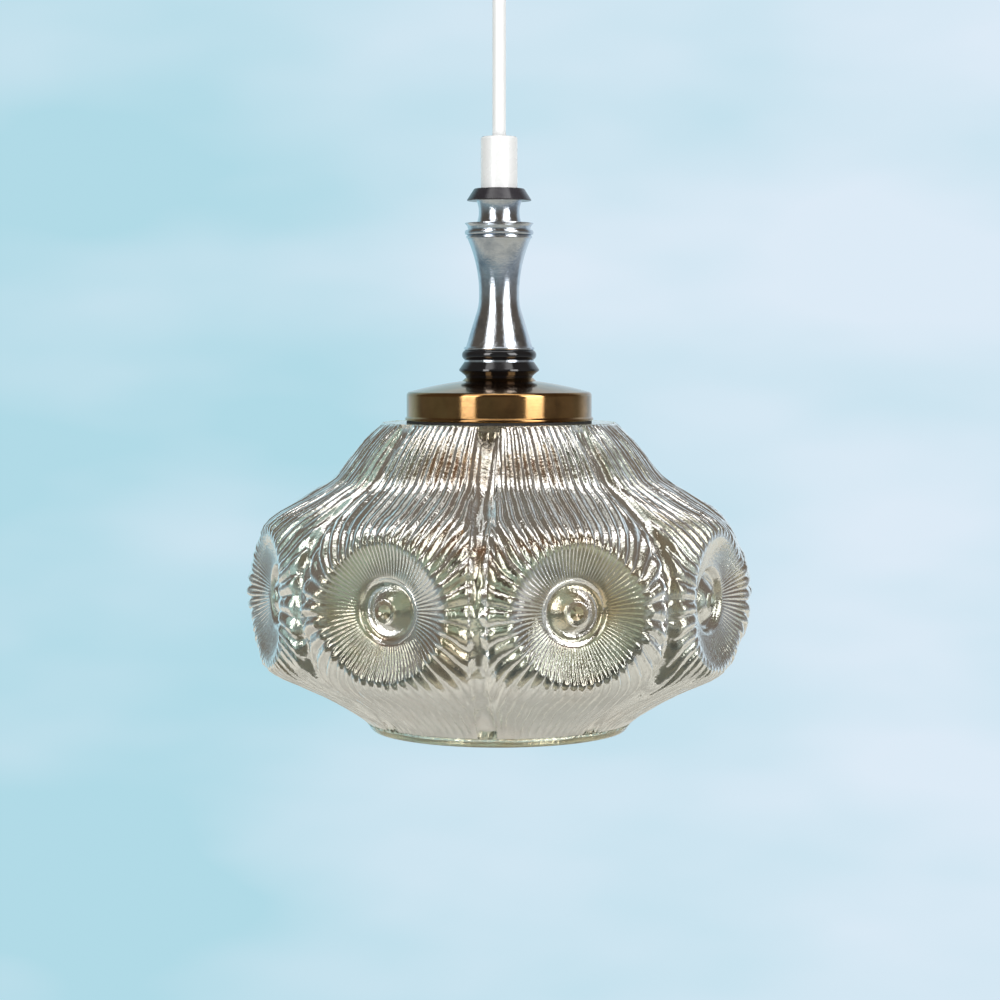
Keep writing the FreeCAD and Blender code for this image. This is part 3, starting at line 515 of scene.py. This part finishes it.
class Meridian:
    """The shade's side curve, looked up by the conformal height that keeps angles true."""

    def __init__(self):
        curve = catmull(SIDE, 12)[::-1]
        step = np.hypot(*np.diff(curve, axis=0).T)
        middle = (curve[1:, 0] + curve[:-1, 0]) / 2
        level = np.concatenate([[0.0], np.cumsum(step / middle)])
        zero = np.interp(0.0, curve[:, 1], level)
        self.level = level - zero
        self.radius = curve[:, 0]
        self.height = curve[:, 1]
        tangent = np.gradient(curve, axis=0)
        tangent /= np.linalg.norm(tangent, axis=1)[:, None]
        self.out = tangent[:, 1]
        self.up = -tangent[:, 0]
        self.bottom = self.level[0]
        self.top = self.level[-1]

    def at(self, level):
        """Radius, height and outward normal at a conformal height."""
        return [np.interp(level, self.level, row)
                for row in (self.radius, self.height, self.out, self.up)]


meridian = Meridian()


def hump(value, size, place, width):
    """A bell of the given size, centred on a place."""
    return size * np.exp(-(((value - place) / width) ** 2))


def swell_at(turn, level, flow, pitch, edge):
    """How far the ribs and the lobes stand off the plain side, in millimetres."""
    radius, height = meridian.at(level)[:2]
    distance = EYE_RADIUS * np.hypot(turn, level)
    wander = WANDER * np.sin(distance / 5.0 + 5.0 * flow) * smooth_step(34.0, 44.0, distance)
    phase = (flow * FINE_RIBS / 2 / (2 * math.pi) + wander) % 1.0 * 2 - 1
    rib_size = COARSE_HEIGHT + UNEVEN_HEIGHT * np.sin(flow * 11.0)
    coarse = (1 - phase ** 2) * rib_size * pitch * smooth_step(*COARSE_START, distance)
    settle = smooth_step(0.0, SETTLE_BOTTOM, (level - meridian.bottom) * radius)
    settle = settle * smooth_step(0.0, SETTLE_TOP, (meridian.top - level) * radius)
    middle = np.cos(np.clip(turn / PANEL_STEP, -0.5, 0.5) * math.pi) ** 2
    brow = hump(height, *UPPER_LOBE) + hump(height, *LOWER_LOBE)
    drop = FLANK_DROP * (1 - smooth_step(0.0, FLANK, edge))
    relief = hump(distance, *CREST) + LOBE * middle * brow + coarse - GROUND - drop
    return relief * settle


def shade_point(turn, level, flow, pitch, edge):
    """The outer surface, in millimetres, for one panel: turn and level place the point,
    flow is its direction from the eye, pitch the width of a coarse rib, edge the distance
    in from the panel's outline."""
    radius, height, out, up = meridian.at(level)
    distance = EYE_RADIUS * np.hypot(turn, level)
    bearing = np.arctan2(turn, level)
    fine_phase = (flow * FINE_RIBS / (2 * math.pi)) % 1.0 * 2 - 1
    fine = (1 - fine_phase ** 2) * FINE_HEIGHT * pitch * smooth_step(*FINE_START, distance)
    fine = fine * (1 - smooth_step(*FINE_END, distance))
    swell = swell_at(turn, level, flow, pitch, edge)
    body = np.stack([
        (radius + swell * out) * np.cos(turn),
        (radius + swell * out) * np.sin(turn),
        height + swell * up,
    ], axis=-1)
    depth = np.interp(distance, DISH[:, 0], DISH[:, 1]) + fine
    dish = np.stack([
        depth, distance * np.sin(bearing) * DISH_NARROWING, distance * np.cos(bearing)
    ], axis=-1)
    weight = (1 - smooth_step(*DISH_BLEND, distance))[..., None]
    return body * (1 - weight) + dish * weight


def spokes(count):
    """Every spoke of a panel as a fine table of places along it, with the number of its last
    place inside the outline."""
    flow = np.arange(count) / count * 2 * math.pi
    reach = np.linspace(0.0, 1.0, FLOW_STEPS)[None, :] ** 1.5 * FLOW_REACH
    spot = reach * np.exp(1j * flow)[:, None]
    path = FLOW_WIDTH / math.pi * np.arcsinh(spot * math.pi / FLOW_WIDTH)
    level = path.real
    turn = path.imag
    radius = np.interp(level, meridian.level, meridian.radius)
    half = PANEL_STEP / 2 - CHANNEL_HALF / radius
    inside = (np.abs(turn) < half) & (level < meridian.top) & (level > meridian.bottom)
    last = np.argmin(inside, axis=1) - 1
    return flow, turn, level, half, last


def panel_rows():
    """Rows of (turn, level, flow, pitch, edge) arrays round the eye, from core to outline."""
    flow, turn, level, half, last = spokes(SPOKES)
    side_exit = np.zeros(SPOKES, bool)
    ends = np.zeros((SPOKES, 2))
    tables = []
    for index in range(SPOKES):
        n = last[index]
        t0, l0 = turn[index, n], level[index, n]
        t1, l1 = turn[index, n + 1], level[index, n + 1]
        over_side = abs(t1) - half[index, n + 1]
        room_side = half[index, n] - abs(t0)
        share_side = room_side / (room_side + over_side) if over_side > 0 else 2.0
        limit = meridian.top if l1 > l0 else meridian.bottom
        share_end = (limit - l0) / (l1 - l0) if abs(l1 - l0) > 1e-12 else 2.0
        share_end = share_end if share_end >= 0 else 2.0
        share = min(share_side, share_end, 1.0)
        side_exit[index] = share_side < share_end
        ends[index] = (t0 + share * (t1 - t0), l0 + share * (l1 - l0))
        line = np.column_stack([
            np.append(turn[index, :n + 1], ends[index, 0]),
            np.append(level[index, :n + 1], ends[index, 1]),
        ])
        away = EYE_RADIUS * np.hypot(line[:, 0], line[:, 1])
        tables.append((away, line))
    # the spoke nearest each of the outline's corners ends in that corner
    for sign in (1, -1):
        for limit in (meridian.bottom, meridian.top):
            exits = [i for i in range(SPOKES) if side_exit[i] and ends[i, 0] * sign > 0]
            nearest = min(exits, key=lambda i: abs(ends[i, 1] - limit))
            radius = np.interp(limit, meridian.level, meridian.radius)
            corner = (sign * (PANEL_STEP / 2 - CHANNEL_HALF / radius), limit)
            away, line = tables[nearest]
            line[-1] = corner
            away[-1] = EYE_RADIUS * math.hypot(*corner)
    final = np.array([away[-1] for away, _ in tables])

    def pick(distances):
        """The place on every spoke at its own distance from the eye."""
        out = np.empty((SPOKES, 2))
        for index, (away, line) in enumerate(tables):
            out[index] = [np.interp(distances[index], away, line[:, k]) for k in (0, 1)]
        return out

    rows = []
    start = np.full(SPOKES, DISH_ROWS[-1])
    targets = [np.full(SPOKES, distance) for distance in DISH_ROWS]
    span_out = final - EDGE_GAPS[0] - start
    for step in range(1, OUTER_ROWS + 1):
        share = (step / OUTER_ROWS) ** OUTER_SPACING
        targets.append(start + span_out * share)
    targets += [final - gap for gap in EDGE_GAPS[1:]]
    for target in targets:
        where = pick(np.minimum(target, final))
        radius = np.interp(where[:, 1], meridian.level, meridian.radius)
        across = (PANEL_STEP / 2 - CHANNEL_HALF / radius - np.abs(where[:, 0])) * radius
        spread = where[:, 1] + 1j * where[:, 0]
        source = np.sinh(spread * math.pi / FLOW_WIDTH) * FLOW_WIDTH / math.pi
        stretch = np.abs(source) / np.abs(np.sqrt(1 + (source * math.pi / FLOW_WIDTH) ** 2))
        pitch = stretch * 2 * math.pi / (FINE_RIBS / 2) * radius
        bottom = (where[:, 1] - meridian.bottom) * radius
        edge = np.minimum(across, bottom + FLANK * 0.35)
        rows.append((where[:, 0], where[:, 1], flow, pitch, np.maximum(edge, 0.0)))
    return rows, side_exit


class MeshBuilder:
    """Collects points and faces for one mesh."""

    def __init__(self):
        self.points = []
        self.faces = []
        self.total = 0

    def add(self, points):
        """Adds points and gives their numbers back."""
        points = np.asarray(points, float).reshape(-1, 3)
        first = self.total
        self.points.append(points)
        self.total += len(points)
        return np.arange(first, self.total)

    def band(self, lower, upper, closed=True):
        """Quads between two rows of the same length."""
        count = len(lower)
        for index in range(count if closed else count - 1):
            after = (index + 1) % count
            self.faces.append((lower[index], lower[after], upper[after], upper[index]))

    def zip_rings(self, lower, upper, lower_angle, upper_angle):
        """Triangles between two closed rings of different counts, sorted by angle."""
        i = 0
        j = 0
        n = len(lower)
        m = len(upper)
        lower_angle = np.append(lower_angle, lower_angle[0] + 2 * math.pi)
        upper_angle = np.append(upper_angle, upper_angle[0] + 2 * math.pi)
        while i < n or j < m:
            step_lower = j >= m or (i < n and lower_angle[i + 1] <= upper_angle[j + 1])
            if step_lower:
                self.faces.append((lower[i % n], lower[(i + 1) % n], upper[j % m]))
                i += 1
            else:
                self.faces.append((lower[i % n], upper[(j + 1) % m], upper[j % m]))
                j += 1

    def object(self, name):
        """The finished mesh as a smooth object, in metres."""
        points = np.vstack(self.points) * MM
        mesh = bpy.data.meshes.new(name)
        mesh.from_pydata(points.tolist(), [], [tuple(map(int, face)) for face in self.faces])
        mesh.validate()
        mesh.polygons.foreach_set("use_smooth", [True] * len(mesh.polygons))
        mesh.update()
        piece = bpy.data.objects.new(name, mesh)
        bpy.context.scene.collection.objects.link(piece)
        return piece


def turned_about_axis(points, angle):
    """Points turned about Z and lifted to the eyes' level."""
    cos, sin = math.cos(angle), math.sin(angle)
    x = points[:, 0] * cos - points[:, 1] * sin
    y = points[:, 0] * sin + points[:, 1] * cos
    return np.column_stack([x, y, points[:, 2] + EYE_LEVEL / MM])


def inner_wall(turn, level):
    """The inner surface: a soft echo of the pattern, thick enough behind every hollow."""
    radius, height, out, up = meridian.at(level)
    away = EYE_RADIUS * np.hypot(turn, level)
    bulge = EYE_BULGE * np.exp(-((away / EYE_BULGE_REACH) ** 4))
    seam = (PANEL_STEP / 2 - np.abs(turn)) * radius
    ridge = SEAM_RIDGE * np.exp(-((seam / SEAM_RIDGE_WIDTH) ** 2))
    inset = WALL + bulge + ridge
    return radius - inset * out, height - inset * up


def pressed_shade():
    """The whole glass as one closed mesh."""
    build = MeshBuilder()
    rows, side_exit = panel_rows()
    core_every = SPOKES // CORE_SPOKES
    core_flow = rows[0][2][::core_every]
    random = np.random.default_rng(7)
    edge_turn, edge_level = rows[-1][:2]
    by_level = sorted(range(SPOKES), key=lambda i: edge_level[i])
    by_turn = sorted(range(SPOKES), key=lambda i: edge_turn[i])
    right = [i for i in by_level if side_exit[i] and edge_turn[i] > 0]
    left = [i for i in by_level if side_exit[i] and edge_turn[i] < 0]
    top = [i for i in by_turn if not side_exit[i] and edge_level[i] > 0]
    bottom = [i for i in by_turn if not side_exit[i] and edge_level[i] < 0]
    edge_rows = []
    for panel in range(PANELS):
        angle = FIRST_EYE + panel * PANEL_STEP
        centre = build.add(turned_about_axis(np.array([[DISH[0, 1], 0.0, 0.0]]), angle))[0]
        previous = None
        for distance in CORE_ROWS:
            share = distance / EYE_RADIUS
            places = shade_point(
                share * np.sin(core_flow), share * np.cos(core_flow), core_flow,
                pitch=np.ones(CORE_SPOKES), edge=np.full(CORE_SPOKES, 2 * FLANK),
            )
            ring = build.add(turned_about_axis(places, angle))
            if previous is None:
                for index in range(CORE_SPOKES):
                    after = (index + 1) % CORE_SPOKES
                    build.faces.append((centre, ring[after], ring[index]))
            else:
                build.band(ring, previous)
            previous = ring
        fine = None
        for row in rows:
            places = shade_point(*row)
            outward = smooth_step(15.0, 40.0, EYE_RADIUS * np.hypot(row[0], row[1]))
            rough = random.normal(0.0, 1.0, places.shape)
            rough = rough * (ROUGH_NEAR + ROUGH_FAR * outward)[:, None]
            ring = build.add(turned_about_axis(places + rough, angle))
            if fine is None:
                for index in range(CORE_SPOKES):
                    after = (index + 1) % CORE_SPOKES
                    base = index * core_every
                    for step in range(core_every):
                        a = ring[base + step]
                        b = ring[(base + step + 1) % SPOKES]
                        inner = previous[index] if step < core_every / 2 else previous[after]
                        build.faces.append((a, b, inner))
                    middle = ring[base + core_every // 2]
                    build.faces.append((middle, previous[after], previous[index]))
            else:
                build.band(ring, fine)
            fine = ring
        edge_rows.append(fine)

    # channels between the panels, where the ribs of both sides run out
    near = [values[right] for values in rows[-1]]
    far = [values[left] for values in rows[-1]]
    near_swell = swell_at(*near)
    far_swell = swell_at(*far)
    radius, height, out, up = meridian.at(near[1])
    run_out = smooth_step(0.0, RUN_OUT_BOTTOM, (near[1] - meridian.bottom) * radius)
    run_out = run_out * smooth_step(0.0, RUN_OUT_TOP, (meridian.top - near[1]) * radius)
    channel_columns = []
    for panel in range(PANELS):
        angle = FIRST_EYE + panel * PANEL_STEP
        columns = [edge_rows[panel][right]]
        for share in CHANNEL_SHARES:
            turn = near[0] + (PANEL_STEP + far[0] - near[0]) * share
            keep_near = 1 - smooth_step(0.0, 0.55, share)
            keep_far = smooth_step(0.45, 1.0, share)
            dip = -CHANNEL_DEPTH * math.sin(math.pi * share) ** 0.8
            ripple = random.normal(0.0, CHANNEL_RIPPLE, len(turn))
            sink = near_swell * keep_near + far_swell * keep_far + (dip + ripple) * run_out
            spots = np.column_stack([
                (radius + sink * out) * np.cos(turn),
                (radius + sink * out) * np.sin(turn),
                height + sink * up,
            ])
            columns.append(build.add(turned_about_axis(spots, angle)))
        columns.append(edge_rows[(panel + 1) % PANELS][left])
        for first, second in zip(columns, columns[1:]):
            build.band(second[::-1], first[::-1], closed=False)
        channel_columns.append(columns)

    def loop(which, at_top):
        """All the numbers along the panels' tops or bottoms, channels included."""
        ring = []
        for panel in range(PANELS):
            ring.extend(edge_rows[panel][which])
            end = -1 if at_top else 0
            ring.extend(column[end] for column in channel_columns[panel])
        return ring

    placed = np.vstack(build.points)

    def sorted_by_angle(ring):
        """The ring's numbers, each once, in order round the axis, with their angles."""
        ring = np.array(list(dict.fromkeys(int(number) for number in ring)))
        angle = np.arctan2(placed[ring, 1], placed[ring, 0]) % (2 * math.pi)
        order = np.argsort(angle)
        return ring[order], angle[order]

    top_ring, top_angle = sorted_by_angle(loop(top, True))
    bottom_ring, bottom_angle = sorted_by_angle(loop(bottom, False))

    # the smooth heel and the mouth, then up the inside and out over the flat top
    angles = INNER_TURN + np.arange(INNER_COLUMNS) / INNER_COLUMNS * 2 * math.pi
    turn = (angles - FIRST_EYE + PANEL_STEP / 2) % PANEL_STEP - PANEL_STEP / 2

    def add_ring(radius, height):
        """A closed ring at one radius and height, or at one of each for every column."""
        return build.add(np.column_stack([
            radius * np.cos(angles),
            radius * np.sin(angles),
            np.full(INNER_COLUMNS, height + EYE_LEVEL / MM),
        ]))

    lathe = [add_ring(*place) for place in HEEL + MOUTH]
    for level in np.linspace(meridian.bottom, meridian.top, INNER_ROWS):
        lathe.append(add_ring(*inner_wall(turn, np.full(INNER_COLUMNS, level))))
    lathe += [add_ring(*place) for place in FLAT_TOP]
    build.zip_rings(lathe[0], bottom_ring, angles, bottom_angle)
    for upper, lower in zip(lathe, lathe[1:]):
        build.band(lower, upper)
    build.zip_rings(top_ring, lathe[-1], top_angle, angles)
    return build.object("glass_pressed")


glass = pressed_shade()
paint(glass, "lustre_glass")
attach(glass, "pendant")
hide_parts("glass_shade")


# ---------------------------------------------------------------- studio

FLOOR_RADIUS = 5.2
FLOOR_LEVEL = -2.3
FLOOR_SIDES = 96


def add_floor():
    """A plain pale floor well below the lamp. It glows a little as painted light, and less
    under the lamp as a painted shadow.
    """
    data = bpy.data.meshes.new("floor")
    angle = np.arange(FLOOR_SIDES) / FLOOR_SIDES * 2 * math.pi
    ring = np.column_stack([
        FLOOR_RADIUS * np.cos(angle),
        FLOOR_RADIUS * np.sin(angle),
        np.full(FLOOR_SIDES, FLOOR_LEVEL),
    ])
    data.from_pydata(ring.tolist(), [], [tuple(range(FLOOR_SIDES))])
    floor = bpy.data.objects.new("floor", data)
    bpy.context.scene.collection.objects.link(floor)
    shader = Shader("floor")
    reach = shader.node("ShaderNodeVectorMath", {0: shader.place}, operation="LENGTH")
    # painted light: the floor's emission, weaker within 2.7 m of the centre as a painted shadow
    # under the lamp
    painted_glow = shader.node(
        "ShaderNodeMapRange",
        {
            "Value": reach.outputs["Value"],
            "From Min": 2.7,
            "From Max": 3.7,
            "To Min": 0.05,
            "To Max": 0.42,
        },
        interpolation_type="SMOOTHSTEP",
    )
    shader.set(
        Base_Color=shader.ramp(
            shader.noise(scale=0.6, detail=3.0),
            [(0.3, (0.86, 0.84, 0.75)), (0.7, (0.90, 0.88, 0.80))],
        ),
        # the colour of the floor's painted glow
        Emission_Color=(0.90, 0.87, 0.77, 1.0),
        Emission_Strength=painted_glow.outputs["Result"],
        Roughness=0.8,
    )
    data.materials.append(shader.material)


def add_softbox(name, azimuth, elevation, distance, size, power):
    """A rectangular soft light, aimed at the eyes' level. Azimuth 0 is the camera's side,
    and a positive one is to its right."""
    data = bpy.data.lights.new(name, "AREA")
    data.shape = "RECTANGLE"
    data.size, data.size_y = size
    data.energy = power
    light = bpy.data.objects.new(name, data)
    turn = math.radians(azimuth)
    rise = math.radians(elevation)
    target = Vector((0.0, 0.0, EYE_LEVEL))
    flat = math.cos(rise)
    away = Vector((math.sin(turn) * flat, -math.cos(turn) * flat, math.sin(rise)))
    light.location = target + away * distance
    light.rotation_euler = away.to_track_quat("Z", "Y").to_euler()
    bpy.context.scene.collection.objects.link(light)


def add_world():
    """A pale blue painted backdrop, the same all round to the camera. Reflections see it only
    beyond the lamp: overhead and on the camera's side they find a dark, warm room."""
    world = bpy.data.worlds.new("studio")
    bpy.context.scene.world = world
    world.use_nodes = True
    tree = world.node_tree

    def node(kind, inputs, **settings):
        made = tree.nodes.new(kind)
        for key, value in settings.items():
            setattr(made, key, value)
        for key, value in inputs.items():
            if isinstance(value, bpy.types.NodeSocket):
                tree.links.new(value, made.inputs[key])
            else:
                made.inputs[key].default_value = value
        return made.outputs

    def maths(operation, first, second):
        return node("ShaderNodeMath", {0: first, 1: second}, operation=operation)[0]

    def fade(value, start, end, low, high):
        inputs = {
            "Value": value, "From Min": start, "From Max": end, "To Min": low, "To Max": high
        }
        return node("ShaderNodeMapRange", inputs, interpolation_type="SMOOTHSTEP")["Result"]

    # the paint: soft, slanting clouds, bluer to the left
    way = tree.nodes.new("ShaderNodeTexCoord").outputs["Generated"]
    split = node("ShaderNodeSeparateXYZ", {"Vector": way})
    drift = node(
        "ShaderNodeMapping",
        {"Vector": way, "Scale": (1.0, 1.0, 2.6), "Rotation": (0.0, -0.45, 0.0)},
    )["Vector"]
    cloud = node(
        "ShaderNodeTexNoise",
        {"Vector": drift, "Scale": 5.0, "Detail": 3.0, "Roughness": 0.45},
    )["Fac"]
    slope = fade(split["X"], -0.22, 0.2, -0.16, 0.16)
    shade = maths("ADD", cloud, slope)
    paint_ramp = tree.nodes.new("ShaderNodeValToRGB")
    first, last = paint_ramp.color_ramp.elements
    first.position = 0.26
    first.color = (0.44, 0.705, 0.80, 1.0)
    last.position = 0.74
    last.color = (0.72, 0.83, 0.93, 1.0)
    tree.links.new(shade, paint_ramp.inputs["Fac"])

    # how dark the room is in each direction, a little less so low down and on the horizon
    behind = fade(split["Y"], 0.72, 0.38, 0.0, 1.0)
    behind = maths("MULTIPLY", behind, fade(split["Z"], -0.45, 0.05, 0.45, 1.0))
    overhead = fade(split["Z"], 0.42, 0.80, 0.0, 1.0)
    dark = maths("MAXIMUM", behind, overhead)
    level = maths("ABSOLUTE", split["Z"], 0.0)
    dark = maths("MULTIPLY", dark, fade(level, 0.04, 0.30, 0.86, 0.96))
    camera_ray = tree.nodes.new("ShaderNodeLightPath").outputs["Is Camera Ray"]
    dark = maths("MULTIPLY", dark, maths("SUBTRACT", 1.0, camera_ray))
    room = node(
        "ShaderNodeMixRGB",
        {
            "Fac": dark,
            "Color1": paint_ramp.outputs["Color"],
            "Color2": (0.11, 0.080, 0.056, 1.0),
        },
    )["Color"]
    tree.links.new(room, tree.nodes["Background"].inputs["Color"])


scene = bpy.context.scene
scene.view_settings.view_transform = "Standard"
add_floor()
add_world()
add_softbox(
    "key_right", azimuth=44.0, elevation=23.0, distance=1.9, size=(0.80, 1.55), power=27.0
)
add_softbox(
    "key_left", azimuth=-38.0, elevation=23.0, distance=1.9, size=(0.62, 1.55), power=22.0
)
add_softbox(
    "overhead", azimuth=0.0, elevation=80.0, distance=1.35, size=(1.25, 0.40), power=4.5
)
